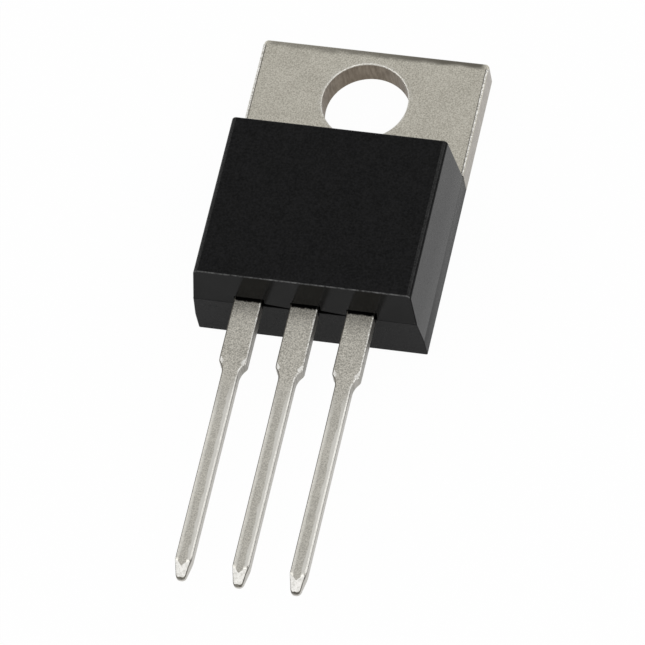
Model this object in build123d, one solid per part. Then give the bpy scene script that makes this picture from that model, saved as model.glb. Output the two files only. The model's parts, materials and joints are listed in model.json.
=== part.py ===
from build123d import *
import math
import os

# A three-lead power triac: a stamped copper header with its centre lead, two outer leads,
# the die and its connections, and the drafted plastic body moulded round them.
# Millimetres. The origin is the mounting hole's axis on the flat back.
# +Y runs to the tab's free end, the leads run to -Y, and +Z comes out of the body's front.

# Tab and header
tab_width = 10.4
tab_thickness = 1.25
tab_corner_radius = 0.2
tab_end_roll_radius = 0.19
tab_edge_break = 0.06
hole_diameter = 3.9
hole_rim_chamfer = 0.06
hole_to_tab_end = 2.68
hole_to_body = 3.3
header_inner_width = 8.6
header_end_cover = 2.0
lock_notch_length = 0.9
lock_notch_depth = 0.5
lock_notch_inset = 1.2
lock_groove_width = 0.5
lock_groove_depth = 0.25

# Moulded body
body_length = 8.65
body_thickness = 4.5
wall_draft = 4.0
lead_end_front_draft = 11.0
lead_end_back_draft = 2.5
front_side_edge_radius = 0.2
tab_side_edge_radius = 0.1
lead_end_edge_radius = 0.05
parting_step = 0.02
dam_groove_depth = 0.12
dam_groove_height = 0.1
root_gap_height = 0.22
root_gap_side = 0.1
root_gap_depth = 0.45

# Leads
lead_pitch = 2.54
lead_thickness = 0.65
lead_height = 2.4
lead_length = 13.8
wide_width = 1.23
wide_length = 3.1
wide_edge_chamfer = 0.04
shoulder_slope = 55.0
shoulder_corner_radius = 0.2
shoulder_blend_radius = 0.8
shank_width = 0.72
coin_width = 0.21
coin_drop = 0.06
coin_run_out = 2.2
tip_length = 0.75
tip_width = 0.38
tip_corner_radius = 0.15
tip_ridge_length = 0.43
tip_ridge_drop = 0.27
joggle_start = 0.25
joggle_run = 1.0
joggle_radius = 0.5

# Bond pads at the outer leads' inner ends
pad_length = 1.7
pad_width = 3.3
pad_cover = 0.9
pad_to_centre_lead = 0.28
pad_corner_radius = 0.25

# Die and its connections
die_size = 4.2
die_thickness = 0.25
solder_thickness = 0.05
solder_margin = 0.15
clip_width = 1.1
clip_thickness = 0.25
clip_foot = 1.5
clip_bend_radius = 0.3
clip_pad_clearance = 0.15
clip_inset = 0.1
wire_diameter = 0.25
wire_foot_width = 0.4
wire_foot_thickness = 0.1
wire_loop_rise = 0.55
wire_foot_share = 0.24
wire_top_share = 0.55
wire_bend_share = 0.13
gate_inset = 0.7

# Coordinates closer than this are one place
coincident = 0.001

# Places that follow from the sizes above
body_start_y = -hole_to_body
parting_y = body_start_y - body_length
header_end_y = parting_y + header_end_cover
lead_front = lead_height + lead_thickness
parting_z = lead_height + lead_thickness / 2
tip_y = parting_y - lead_length
shoulder_y = parting_y - wide_length
shank_y = shoulder_y - (wide_width - shank_width) / 2 * math.tan(math.radians(shoulder_slope))
pad_outer_y = parting_y + pad_cover
pad_inner_y = pad_outer_y + pad_length
die_y = (body_start_y + header_end_y) / 2
die_front = tab_thickness + solder_thickness + die_thickness
gate_pad_y = (pad_outer_y + pad_inner_y) / 2


def block(x_range, y_range, z_range):
    """Rectangular solid between two limits on each axis."""
    size = [high - low for low, high in (x_range, y_range, z_range)]
    centre = [(high + low) / 2 for low, high in (x_range, y_range, z_range)]
    return Pos(*centre) * Box(*size)


def plate(outline, low_z, thickness):
    """Flat plate with the given outline, its back face at low_z."""
    return extrude(Pos(0, 0, low_z) * outline, amount=thickness, dir=(0, 0, 1))


def rectangle(x_range, y_range):
    """Rectangle between limits on X and Y."""
    centre = [(high + low) / 2 for low, high in (x_range, y_range)]
    return Pos(*centre, 0) * Rectangle(x_range[1] - x_range[0], y_range[1] - y_range[0])


def half_width(height):
    """Half of the body's width at a height above its back."""
    return tab_width / 2 - height * math.tan(math.radians(wall_draft))


def tab_side_y(height):
    """Y of the body's tab-side wall, which starts on the tab's front face."""
    return body_start_y - (height - tab_thickness) * math.tan(math.radians(wall_draft))


def lead_end_y(height):
    """Y of the body's lead-end wall, which has its own draft each side of the parting line."""
    if height > parting_z:
        return parting_y + (height - parting_z) * math.tan(math.radians(lead_end_front_draft))
    inward = (parting_z - height) * math.tan(math.radians(lead_end_back_draft))
    return parting_y - parting_step + inward


def moulding_half(low_z, high_z, lead_end_ys, front_radius):
    """Drafted half of the moulding between two heights; lead_end_ys are its lead end's Y at each.

    Its long edges at high_z get front_radius, and the outline of each end face is rounded.
    """
    low_half, high_half = half_width(low_z), half_width(high_z)
    front_view = make_face(
        Polyline((-low_half, low_z), (low_half, low_z), (high_half, high_z), (-high_half, high_z), close=True)
    )
    if front_radius:
        front_view = fillet(front_view.vertices().group_by(Axis.Y)[-1], front_radius)
    side_view = make_face(
        Polyline(
            (lead_end_ys[0], low_z),
            (tab_side_y(low_z), low_z),
            (tab_side_y(high_z), high_z),
            (lead_end_ys[1], high_z),
            close=True,
        )
    )
    half = extrude(Plane.XZ * front_view, amount=2 * body_length, both=True)
    half &= extrude(Plane.YZ * side_view, amount=tab_width, both=True)
    for end, radius in ((0, lead_end_edge_radius), (-1, tab_side_edge_radius)):
        outline = half.faces().sort_by(Axis.Y)[end].edges()
        outline = outline.filter_by(lambda e: e.center().Z > low_z + coincident)
        if high_z < body_thickness:
            outline = outline.filter_by(lambda e: e.center().Z < high_z - coincident)
        half = fillet(outline, radius)
    return half


def body_form():
    """Outer form of the moulding: two drafted halves that meet at the leads' mid-plane."""
    front_ys = (parting_y, lead_end_y(body_thickness))
    back_ys = (lead_end_y(0), lead_end_y(parting_z))
    front_half = moulding_half(parting_z, body_thickness, front_ys, front_side_edge_radius)
    return front_half + moulding_half(0, parting_z, back_ys, 0)


def dam_grooves():
    """Shallow grooves in the lead end, along the parting line between the leads."""
    gap = (wide_width / 2, lead_pitch - wide_width / 2)
    depth = (parting_y - parting_step, parting_y + dam_groove_depth)
    height = (parting_z, parting_z + dam_groove_height)
    return [block(span, depth, height) for span in (gap, (-gap[1], -gap[0]))]


def root_gaps():
    """Small gaps in the front half round the leads' roots, where the mould shuts off on them."""
    half = wide_width / 2 + root_gap_side
    depth = (parting_y, parting_y + root_gap_depth)
    height = (parting_z, lead_front + root_gap_height)
    return [block((x - half, x + half), depth, height) for x in (-lead_pitch, 0, lead_pitch)]


def lead_outline(inner_y):
    """Plan of a lead on the Y axis: wide part, shoulders that run in to the shank, and tapered tip."""
    wide_half = wide_width / 2
    shank_half = shank_width / 2
    right_side = [
        (wide_half, inner_y),
        (wide_half, shoulder_y),
        (shank_half, shank_y),
        (shank_half, tip_y + tip_length),
        (tip_width / 2, tip_y),
    ]
    left_side = [(-x, y) for x, y in reversed(right_side)]
    outline = make_face(Polyline(*right_side, *left_side, close=True))
    for corner_y, radius in (
        (shoulder_y, shoulder_corner_radius),
        (shank_y, shoulder_blend_radius),
        (tip_y, tip_corner_radius),
    ):
        outline = fillet(corners_at(outline, corner_y), radius)
    return outline


def corners_at(outline, y):
    """The outline's corners that lie at a given Y."""
    return outline.vertices().filter_by(lambda v: abs(v.Y - y) < coincident)


def coin_section(y, width, drop):
    """Corner to cut from the shank's front right edge at Y."""
    half = shank_width / 2
    inner = Vector(half - width, y, lead_front)
    outer = Vector(half, y, lead_front - drop)
    inner, outer = inner * 2 - outer, outer * 2 - inner
    return make_face(Polyline(inner, outer, (outer.X, y, inner.Z), close=True))


def coined_edge():
    """Cutter for the shank's coined front right edge, which runs out below the shoulder."""
    blend_length = shoulder_blend_radius * math.tan(math.radians(90 - shoulder_slope) / 2)
    start_y = shank_y - blend_length
    sections = [
        coin_section(start_y, wide_edge_chamfer, wide_edge_chamfer),
        coin_section(start_y - coin_run_out, coin_width, coin_drop),
        coin_section(tip_y, coin_width, coin_drop),
    ]
    return loft(sections, ruled=True)


def tip_facet():
    """Cutter for the right one of the tip's two facets, which meet in a falling ridge."""
    ridge_start = Vector(0, tip_y + tip_ridge_length, lead_front)
    ridge_end = Vector(0, tip_y, lead_front - tip_ridge_drop)
    taper_start = Vector(shank_width / 2, tip_y + tip_length, lead_front)
    across = taper_start - ridge_start
    along = ridge_end - ridge_start
    facet = Plane(ridge_start, x_dir=across, z_dir=along.cross(across))
    above = (Align.CENTER, Align.CENTER, Align.MIN)
    return facet * Box(lead_pitch, lead_pitch, lead_thickness, align=above)


def lead_strip(centre_x, inner_y):
    """Lead from inner_y to its tip, with its edges broken, its shank coined and its tip pointed."""
    solid = plate(lead_outline(inner_y), lead_height, lead_thickness)
    rims = solid.faces().filter_by(Axis.Z).edges().filter_by(lambda e: e.center().Y < inner_y - coincident)
    solid = chamfer(rims, wide_edge_chamfer)
    for cutter in (coined_edge(), tip_facet()):
        solid = solid - cutter - mirror(cutter, about=Plane.YZ)
    return Pos(centre_x, 0, 0) * solid


def outer_lead(side):
    """Outer lead with its bond pad; side is -1 for the left lead and 1 for the right."""
    inner_x = wide_width / 2 + pad_to_centre_lead
    span = sorted((side * inner_x, side * (inner_x + pad_width)))
    pad = rectangle(span, (pad_outer_y, pad_inner_y))
    pad = fillet(pad.vertices(), pad_corner_radius)
    centre_x = side * lead_pitch
    pad = plate(pad, lead_height, lead_thickness)
    return lead_strip(centre_x, pad_inner_y - pad_corner_radius) + pad


def header():
    """Tab and die pad with the centre lead bent up from the die pad, as one stamping."""
    tab = rectangle((-tab_width / 2, tab_width / 2), (body_start_y, hole_to_tab_end))
    tab = fillet(tab.vertices().sort_by(Axis.Y)[-2:], tab_corner_radius)
    inner_half = header_inner_width / 2
    die_pad = rectangle((-inner_half, inner_half), (header_end_y, body_start_y))
    notch_y = (header_end_y + lock_notch_inset, header_end_y + lock_notch_inset + lock_notch_length)
    for side in (-1, 1):
        notch_x = sorted((side * inner_half, side * (inner_half - lock_notch_depth)))
        die_pad -= rectangle(notch_x, notch_y)
    solid = plate(tab, 0, tab_thickness)
    side_edges = solid.edges().filter_by(Axis.Y).group_by(Axis.Z)[-1]
    solid = chamfer(side_edges, tab_edge_break)
    end_edge = solid.edges().filter_by(Axis.X).group_by(Axis.Z)[-1].sort_by(Axis.Y)[-1]
    solid = fillet(end_edge, tab_end_roll_radius) + plate(die_pad, 0, tab_thickness)
    solid -= mounting_hole()
    solid -= lock_groove()
    return solid + centre_lead()


def mounting_hole():
    """Cutter for the mounting hole with its broken front rim."""
    radius = hole_diameter / 2
    bore = Cylinder(radius, tab_thickness, align=(Align.CENTER, Align.CENTER, Align.MIN))
    rim = Pos(0, 0, tab_thickness - hole_rim_chamfer) * Cone(
        radius, radius + hole_rim_chamfer, hole_rim_chamfer, align=(Align.CENTER, Align.CENTER, Align.MIN)
    )
    return bore + rim


def lock_groove():
    """Cutter for the V groove across the header's front face, just inside the plastic."""
    middle_y = body_start_y - lock_groove_width
    top = tab_thickness
    corners = [
        (middle_y - lock_groove_width / 2, top),
        (middle_y, top - lock_groove_depth),
        (middle_y + lock_groove_width / 2, top),
    ]
    profile = make_face(Polyline(*corners, close=True))
    return extrude(Plane.YZ * profile, amount=tab_width, both=True)


def centre_lead():
    """Centre lead: a strip bent up from the header to the lead plane, then wide part and shank."""
    low_z = tab_thickness - lead_thickness / 2
    bend_y = header_end_y - joggle_run
    path = FilletPolyline(
        (0, header_end_y + lead_thickness, low_z),
        (0, header_end_y - joggle_start, low_z),
        (0, bend_y, parting_z),
        (0, parting_y, parting_z),
        radius=joggle_radius,
    )
    section = Plane(path @ 0, z_dir=path % 0, x_dir=(1, 0, 0)) * Rectangle(wide_width, lead_thickness)
    return sweep(section, path=path) + lead_strip(0, parting_y)


def slab(x_range, y_range, low_z, thickness):
    """Thin flat layer."""
    return block(x_range, y_range, (low_z, low_z + thickness))


def die_solder():
    """Solder layer between the header and the die."""
    half = die_size / 2 + solder_margin
    return slab((-half, half), (die_y - half, die_y + half), tab_thickness, solder_thickness)


def die():
    """Silicon die."""
    half = die_size / 2
    low_z = tab_thickness + solder_thickness
    return slab((-half, half), (die_y - half, die_y + half), low_z, die_thickness)


clip_x = -(die_size / 2 - clip_inset - clip_width / 2)
clip_span = (clip_x - clip_width / 2, clip_x + clip_width / 2)
clip_die_y = (die_y - clip_foot / 2, die_y + clip_foot / 2)
clip_pad_y = (pad_inner_y - clip_foot, pad_inner_y - solder_margin)


def clip_path():
    """Centre line of the copper clip, from the die to the left lead's bond pad."""
    foot_z = die_front + solder_thickness + clip_thickness / 2
    pad_z = lead_front + solder_thickness + clip_thickness / 2
    return FilletPolyline(
        (clip_x, clip_die_y[1], foot_z),
        (clip_x, clip_die_y[0], foot_z),
        (clip_x, pad_inner_y + clip_pad_clearance, pad_z),
        (clip_x, clip_pad_y[0], pad_z),
        radius=clip_bend_radius,
    )


def clip():
    """Copper clip that joins the die's main contact to the left lead."""
    path = clip_path()
    section = Plane(path @ 0, z_dir=path % 0, x_dir=(1, 0, 0)) * Rectangle(clip_width, clip_thickness)
    return sweep(section, path=path)


def clip_die_solder():
    """Solder under the clip's foot on the die."""
    y_range = (clip_die_y[0] + clip_bend_radius, clip_die_y[1])
    return slab(clip_span, y_range, die_front, solder_thickness)


def clip_lead_solder():
    """Solder under the clip's foot on the bond pad."""
    y_range = (clip_pad_y[0], pad_inner_y - clip_bend_radius)
    return slab(clip_span, y_range, lead_front, solder_thickness)


def gate_wire():
    """Bond wire from the die's gate contact to the right lead, with a flattened foot at each end."""
    start = Vector(die_size / 2 - gate_inset, die_y - die_size / 2 + gate_inset, die_front)
    end = Vector(lead_pitch, gate_pad_y, lead_front)
    flat = Vector(end.X - start.X, end.Y - start.Y, 0)
    foot_length = flat.length * wire_foot_share
    rise = Vector(0, 0, wire_diameter / 2)
    path = FilletPolyline(
        start + rise,
        start + rise + flat * wire_foot_share,
        Vector(start.X, start.Y, end.Z + wire_loop_rise) + flat * wire_top_share,
        end + rise - flat * wire_foot_share,
        end + rise,
        radius=flat.length * wire_bend_share,
    )
    section = Plane(path @ 0, z_dir=path % 0) * Circle(wire_diameter / 2)
    wire = sweep(section, path=path)
    angle = math.degrees(math.atan2(flat.Y, flat.X))
    for foot, direction in ((start, 1), (end, -1)):
        middle = foot + flat * (direction * wire_foot_share / 2)
        place = Pos(middle.X, middle.Y, foot.Z + wire_foot_thickness / 2) * Rot(0, 0, angle)
        wire += place * Box(foot_length, wire_foot_width, wire_foot_thickness)
    return wire


def moulded_body(enclosed):
    """Plastic body: its outer form less everything it was moulded round."""
    body = body_form()
    for cutter in dam_grooves() + root_gaps() + enclosed:
        body -= cutter
    return body


def main():
    os.makedirs("parts", exist_ok=True)
    pieces = {
        "header_and_centre_lead": header(),
        "left_lead": outer_lead(-1),
        "right_lead": outer_lead(1),
        "die_solder": die_solder(),
        "triac_die": die(),
        "clip_die_solder": clip_die_solder(),
        "main_terminal_clip": clip(),
        "clip_lead_solder": clip_lead_solder(),
        "gate_wire": gate_wire(),
    }
    pieces["moulded_body"] = moulded_body(list(pieces.values()))
    for name, shape in pieces.items():
        export_step(shape, f"parts/{name}.step")


main()
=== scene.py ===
import bpy
import bmesh
import json
import math
from mathutils import Matrix, Vector

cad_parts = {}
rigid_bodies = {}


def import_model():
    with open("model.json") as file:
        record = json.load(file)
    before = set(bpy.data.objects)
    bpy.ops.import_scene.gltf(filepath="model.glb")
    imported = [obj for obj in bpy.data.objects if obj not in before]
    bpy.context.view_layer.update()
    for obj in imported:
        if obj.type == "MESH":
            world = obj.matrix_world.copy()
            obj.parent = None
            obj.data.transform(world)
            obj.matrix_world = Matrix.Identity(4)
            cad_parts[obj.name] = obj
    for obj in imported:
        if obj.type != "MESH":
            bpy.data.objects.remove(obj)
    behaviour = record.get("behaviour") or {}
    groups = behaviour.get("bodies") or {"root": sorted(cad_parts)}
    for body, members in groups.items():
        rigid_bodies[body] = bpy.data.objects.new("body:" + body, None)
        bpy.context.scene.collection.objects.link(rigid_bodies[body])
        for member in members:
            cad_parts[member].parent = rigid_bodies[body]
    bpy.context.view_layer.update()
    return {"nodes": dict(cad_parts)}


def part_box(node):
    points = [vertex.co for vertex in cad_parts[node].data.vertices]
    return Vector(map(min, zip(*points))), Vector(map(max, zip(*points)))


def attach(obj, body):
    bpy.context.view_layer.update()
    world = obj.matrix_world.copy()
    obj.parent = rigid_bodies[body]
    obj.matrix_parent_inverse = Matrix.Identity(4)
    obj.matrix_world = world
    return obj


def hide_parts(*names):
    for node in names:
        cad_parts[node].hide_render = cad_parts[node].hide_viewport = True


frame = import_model()
nodes = frame["nodes"]
print("triac: frame loaded")


def tan(degrees):
    return math.tan(math.radians(degrees))


def nodeBox(name):  # a CAD node's corners in millimetres
    low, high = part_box(name)
    return low * 1000, high * 1000


# sizes that the pieces share, in millimetres
caseLow, caseHigh = nodeBox("moulded_body")
headerHigh = nodeBox("header_and_centre_lead")[1]
leadLow, leadHigh = nodeBox("right_lead")
leadTip = leadLow.y
leadBack = leadLow.z
leadFront = leadHigh.z
leadMiddle = (leadBack + leadFront) / 2
leadPitch = 2.54
leadPlaces = (-leadPitch, 0.0, leadPitch)
wideHalf = 0.615
rootY = -11.4  # where a lead's own mesh ends inside the case
tabThickness = 1.25


# materials, all on object coordinates

def startMaterial(name):
    material = bpy.data.materials.new(name)
    material.use_nodes = True
    tree = material.node_tree
    tree.nodes.clear()
    coords = tree.nodes.new("ShaderNodeTexCoord")
    coords.location = (-1200, 0)
    shader = tree.nodes.new("ShaderNodeBsdfPrincipled")
    output = tree.nodes.new("ShaderNodeOutputMaterial")
    output.location = (300, 0)
    tree.links.new(shader.outputs["BSDF"], output.inputs["Surface"])
    return material, tree, coords.outputs["Object"], shader


def noise(tree, coords, scale, detail=2.0, roughness=0.5, offset=(0, 0, 0)):
    # scale is features per millimetre, one number or one for each axis
    scales = scale if isinstance(scale, tuple) else (scale, scale, scale)
    mapping = tree.nodes.new("ShaderNodeMapping")
    mapping.inputs["Location"].default_value = offset
    mapping.inputs["Scale"].default_value = [1000 * value for value in scales]
    tree.links.new(coords, mapping.inputs["Vector"])
    texture = tree.nodes.new("ShaderNodeTexNoise")
    texture.inputs["Scale"].default_value = 1.0
    texture.inputs["Detail"].default_value = detail
    texture.inputs["Roughness"].default_value = roughness
    tree.links.new(mapping.outputs["Vector"], texture.inputs["Vector"])
    return texture.outputs["Fac"]


def spread(tree, value, low, high, fromLow=0.3, fromHigh=0.7):  # maps a noise to a range
    node = tree.nodes.new("ShaderNodeMapRange")
    node.inputs["From Min"].default_value = fromLow
    node.inputs["From Max"].default_value = fromHigh
    node.inputs["To Min"].default_value = low
    node.inputs["To Max"].default_value = high
    tree.links.new(value, node.inputs["Value"])
    return node.outputs["Result"]


def ramp(tree, value, start, end):  # smooth rise from 0 at start to 1 at end
    node = tree.nodes.new("ShaderNodeMapRange")
    node.interpolation_type = "SMOOTHSTEP"
    node.inputs["From Min"].default_value = start
    node.inputs["From Max"].default_value = end
    tree.links.new(value, node.inputs["Value"])
    return node.outputs["Result"]


def calculate(tree, operation, *numbers):
    node = tree.nodes.new("ShaderNodeMath")
    node.operation = operation
    for socket, value in zip(node.inputs, numbers):
        if isinstance(value, (int, float)):
            socket.default_value = value
        else:
            tree.links.new(value, socket)
    return node.outputs[0]


def mixColour(tree, factor, a, b):
    node = tree.nodes.new("ShaderNodeMix")
    node.data_type = "RGBA"
    tree.links.new(factor, node.inputs[0])
    for socket, colour in ((node.inputs[6], a), (node.inputs[7], b)):
        if isinstance(colour, tuple):
            socket.default_value = (*colour, 1)
        else:
            tree.links.new(colour, socket)
    return node.outputs[2]


def axisValues(tree, coords):  # object coordinates in millimetres
    node = tree.nodes.new("ShaderNodeSeparateXYZ")
    tree.links.new(coords, node.inputs[0])
    return [calculate(tree, "MULTIPLY", output, 1000) for output in node.outputs]


def addBump(tree, shader, height, depth, strength):  # depth in millimetres
    bump = tree.nodes.new("ShaderNodeBump")
    bump.inputs["Distance"].default_value = depth / 1000
    bump.inputs["Strength"].default_value = strength
    tree.links.new(height, bump.inputs["Height"])
    tree.links.new(bump.outputs["Normal"], shader.inputs["Normal"])


lookValues = {  # how each kind of surface spreads its grain, clouds, gloss and bumps
    "grained": {
        "detail": 2.0, "grit": 0.7, "clouds": 0.8, "cloudDetail": 3.0, "cloudPlace": (3, 1, 2),
        "cloudShare": 0.1, "rougher": 0.08, "smoother": 0.06, "bump": 0.5,
    },
    "sheared": {
        "detail": 3.0, "grit": 0.6, "clouds": 2.0, "cloudDetail": 2.0, "cloudPlace": (5, 2, 7),
        "cloudShare": 0.2, "rougher": 0.06, "smoother": 0.06, "bump": 0.5,
    },
    "moulded": {
        "detail": 3.0, "grit": 0.6, "clouds": 1.1, "cloudDetail": 3.0, "cloudPlace": (2, 8, 1),
        "cloudShare": 0.1, "rougher": 0.05, "smoother": 0.04, "bump": 0.4,
    },
}


def makeFinish(name, look, values, recolour=None):  # recolour is a function that changes the colour, adding marks and painted light
    material, tree, coords, shader = startMaterial(name)
    grain = noise(tree, coords, values["grain"], look["detail"], look["grit"])
    clouds = noise(tree, coords, look["clouds"], look["cloudDetail"], offset=look["cloudPlace"])
    fine = spread(tree, grain, 0.0, 1.0, *values.get("sharpness", (0.3, 0.7)))
    broad = spread(tree, clouds, -look["cloudShare"], look["cloudShare"])
    colour = mixColour(tree, calculate(tree, "ADD", fine, broad), values["dark"], values["light"])
    if recolour:
        colour = recolour(tree, coords, colour)
    rough = spread(tree, grain, values["rough"] + look["rougher"], values["rough"] - look["smoother"])
    tree.links.new(colour, shader.inputs["Base Color"])
    tree.links.new(rough, shader.inputs["Roughness"])
    shader.inputs["Metallic"].default_value = values.get("metallic", 0.0)
    shader.inputs["Specular IOR Level"].default_value = values.get("specular", 0.5)
    addBump(tree, shader, grain, values["depth"], look["bump"])
    return material


tabStreaksAndShadeValues = {
    # where the painted shade lies along the tab's end
    "rollStart": 2.25,
    "rollEnd": 2.5,
    "rollWobble": 0.06,
    "rollAcross": (-4.0, 3.0),
    "rollLeft": 0.55,
    "rollSides": (5.05, 4.8),
    "rollBack": (0.9, 1.15),
    "rollShadeTone": (0.21, 0.195, 0.163),
    "streakStart": 2.22,
    "streakEnd": 1.98,
    "streakShare": 0.9,
    "streakEdge": (0.48, 0.66),
    "streakTone": (0.86, 0.84, 0.77),
}


def tabStreaksAndShade(tree, coords, colour):  # painted shade along the roll at the tab's end, light streaks round the hole
    values = tabStreaksAndShadeValues
    x, y, z = axisValues(tree, coords)
    wobbleNoise = noise(tree, coords, (1.2, 3.0, 3.0), offset=(1, 4, 2))
    wobble = spread(tree, wobbleNoise, -values["rollWobble"], values["rollWobble"])
    rollShade = ramp(tree, calculate(tree, "ADD", y, wobble), values["rollStart"], values["rollEnd"])
    across = spread(tree, x, values["rollLeft"], 1.0, *values["rollAcross"])
    sides = ramp(tree, calculate(tree, "ABSOLUTE", x), *values["rollSides"])
    for share in (across, sides, ramp(tree, z, *values["rollBack"])):
        rollShade = calculate(tree, "MULTIPLY", rollShade, share)
    colour = mixColour(tree, rollShade, colour, values["rollShadeTone"])
    squares = [calculate(tree, "POWER", side, 2) for side in (x, y)]
    radius = calculate(tree, "SQRT", calculate(tree, "ADD", *squares))
    ring = ramp(tree, radius, values["streakStart"], values["streakEnd"])
    streakNoise = noise(tree, coords, 9.0, detail=3.0, offset=(6, 2, 3))
    streaks = spread(tree, streakNoise, 0.0, values["streakShare"], *values["streakEdge"])
    return mixColour(tree, calculate(tree, "MULTIPLY", ring, streaks), colour, values["streakTone"])


leadToneAndLightValues = {
    "flankInner": 0.13,
    "flankOuter": 0.2,
    "flankWobble": 0.05,
    "flankHighlightTone": (0.97, 0.95, 0.89),
    "runInStart": -15.5,
    "runInEnd": -17.4,
    # the painted flank highlight is weaker on the left flank than the right
    "leftShare": 0.5,
    "rightShare": 0.85,
    "shareAcross": (-0.1, 0.1),
    "calmStart": -15.3,
    "calmEnd": -16.6,
    "faceShare": 0.4,
    "faceTone": (0.72, 0.695, 0.63),
    "edgeShare": 0.7,
    "edgeHighlightTone": (0.93, 0.91, 0.85),
    "sideShare": 0.75,
    "sideTone": (0.64, 0.62, 0.58),
    # painted shade at the lead roots
    "rootStart": -12.05,
    "rootEnd": -11.96,
    "rootInner": (-11.35, -11.42),
    "rootFlecks": 0.035,
    "rootTone": (0.006, 0.006, 0.006),
}


def paintedRootShade(tree, coords, y, colour):  # painted shade, dark where the moulding's gap closes round the root
    values = leadToneAndLightValues
    fleckNoise = noise(tree, coords, 12.0, detail=3.0, offset=(2, 6, 4))
    flecks = spread(tree, fleckNoise, -values["rootFlecks"], values["rootFlecks"])
    shade = ramp(tree, calculate(tree, "ADD", y, flecks), values["rootStart"], values["rootEnd"])
    shade = calculate(tree, "MULTIPLY", shade, ramp(tree, y, *values["rootInner"]))
    return mixColour(tree, shade, colour, values["rootTone"])


def calmShank(tree, y, colour, share, tone):  # the shank is coined smoother than the wide part
    calm = ramp(tree, y, leadToneAndLightValues["calmStart"], leadToneAndLightValues["calmEnd"])
    return mixColour(tree, calculate(tree, "MULTIPLY", calm, share), colour, tone)


def leadEdgeCalmAndShade(tree, coords, colour):
    y = axisValues(tree, coords)[1]
    colour = calmShank(tree, y, colour, leadToneAndLightValues["edgeShare"], leadToneAndLightValues["edgeHighlightTone"])
    return paintedRootShade(tree, coords, y, colour)


def leadSideCalmAndShade(tree, coords, colour):
    y = axisValues(tree, coords)[1]
    colour = calmShank(tree, y, colour, leadToneAndLightValues["sideShare"], leadToneAndLightValues["sideTone"])
    return paintedRootShade(tree, coords, y, colour)


def leadCalmHighlightAndShade(tree, coords, colour):  # painted highlight: the coined flanks are lighter than the middle
    values = leadToneAndLightValues
    x, y = axisValues(tree, coords)[:2]
    colour = calmShank(tree, y, colour, values["faceShare"], values["faceTone"])
    fromMiddle = calculate(tree, "WRAP", x, leadPitch / 2, -leadPitch / 2)
    wobbleNoise = noise(tree, coords, (5.0, 1.5, 5.0), detail=3.0, offset=(1, 4, 2))
    wobble = spread(tree, wobbleNoise, -values["flankWobble"], values["flankWobble"])
    offset = calculate(tree, "ADD", calculate(tree, "ABSOLUTE", fromMiddle), wobble)
    flankHighlight = ramp(tree, offset, values["flankInner"], values["flankOuter"])
    runIn = ramp(tree, y, values["runInStart"], values["runInEnd"])
    side = spread(tree, fromMiddle, values["leftShare"], values["rightShare"], *values["shareAcross"])
    for share in (runIn, side):
        flankHighlight = calculate(tree, "MULTIPLY", flankHighlight, share)
    return paintedRootShade(tree, coords, y, mixColour(tree, flankHighlight, colour, values["flankHighlightTone"]))


platingValues = {
    "tab": {
        "dark": (0.50, 0.473, 0.40), "light": (0.915, 0.878, 0.768), "sharpness": (0.34, 0.66),
        "grain": 15.0, "rough": 0.38, "depth": 0.007, "metallic": 1.0,
    },
    "lead": {
        "dark": (0.405, 0.387, 0.337), "light": (0.985, 0.948, 0.85), "sharpness": (0.34, 0.66),
        "grain": 15.0, "rough": 0.36, "depth": 0.009, "metallic": 1.0,
    },
    # painted highlight for the edges: near white and hardly metallic
    "edge": {
        "dark": (0.42, 0.40, 0.355), "light": (1.0, 0.985, 0.94), "sharpness": (0.40, 0.58),
        "grain": 11.0, "rough": 0.28, "depth": 0.003, "metallic": 0.15,
    },
    # painted highlight for the hole's rim
    "rim": {
        "dark": (0.62, 0.59, 0.52), "light": (1.0, 0.98, 0.92), "sharpness": (0.34, 0.66),
        "grain": 15.0, "rough": 0.3, "depth": 0.002, "metallic": 0.4,
    },
    # painted highlight for the pressed facets
    "pressed": {
        "dark": (0.62, 0.605, 0.56), "light": (0.90, 0.885, 0.845), "sharpness": (0.3, 0.58),
        "grain": 8.0, "rough": 0.3, "depth": 0.002, "metallic": 0.1,
    },
    # painted shade: dark lines along edges, round the tip and in the burr's dip
    "paintedShadeBand": {
        "dark": (0.10, 0.093, 0.08), "light": (0.26, 0.245, 0.21), "sharpness": (0.34, 0.66),
        "grain": 6.0, "rough": 0.42, "depth": 0.004, "metallic": 1.0,
    },
}
grained = lookValues["grained"]
tabFace = makeFinish("matteTinTab", grained, platingValues["tab"], tabStreaksAndShade)
leadFace = makeFinish("matteTinLead", grained, platingValues["lead"], leadCalmHighlightAndShade)
edgeHighlight = makeFinish("edgePaintedHighlight", grained, platingValues["edge"])
leadEdgeHighlight = makeFinish("leadEdgePaintedHighlight", grained, platingValues["edge"], leadEdgeCalmAndShade)
holeRimHighlight = makeFinish("rimPaintedHighlight", grained, platingValues["rim"])
pressedHighlight = makeFinish("pressedHighlight", grained, platingValues["pressed"])
paintedShadeBand = makeFinish("rolledEdgePaintedShade", grained, platingValues["paintedShadeBand"])

shearValues = {  # the sides that a punch has cut have fine lines along its stroke
    "tabSide": {
        "dark": (0.40, 0.376, 0.343), "light": (0.535, 0.508, 0.462),
        "grain": (0.6, 16.0, 0.8), "rough": 0.42, "depth": 0.004, "metallic": 1.0,
    },
    "leadSide": {
        "dark": (0.29, 0.28, 0.253), "light": (0.52, 0.503, 0.469),
        "grain": (2.0, 18.0, 1.2), "rough": 0.40, "depth": 0.004, "metallic": 1.0,
    },
    "bore": {
        "dark": (0.19, 0.155, 0.118), "light": (0.28, 0.238, 0.188),
        "grain": (9.0, 9.0, 1.6), "rough": 0.45, "depth": 0.001, "metallic": 1.0,
    },
}
tabSide = makeFinish("shearedTabSide", lookValues["sheared"], shearValues["tabSide"])
leadSide = makeFinish("shearedLeadSide", lookValues["sheared"], shearValues["leadSide"], leadSideCalmAndShade)
boreWall = makeFinish("punchedBore", lookValues["sheared"], shearValues["bore"])

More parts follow.
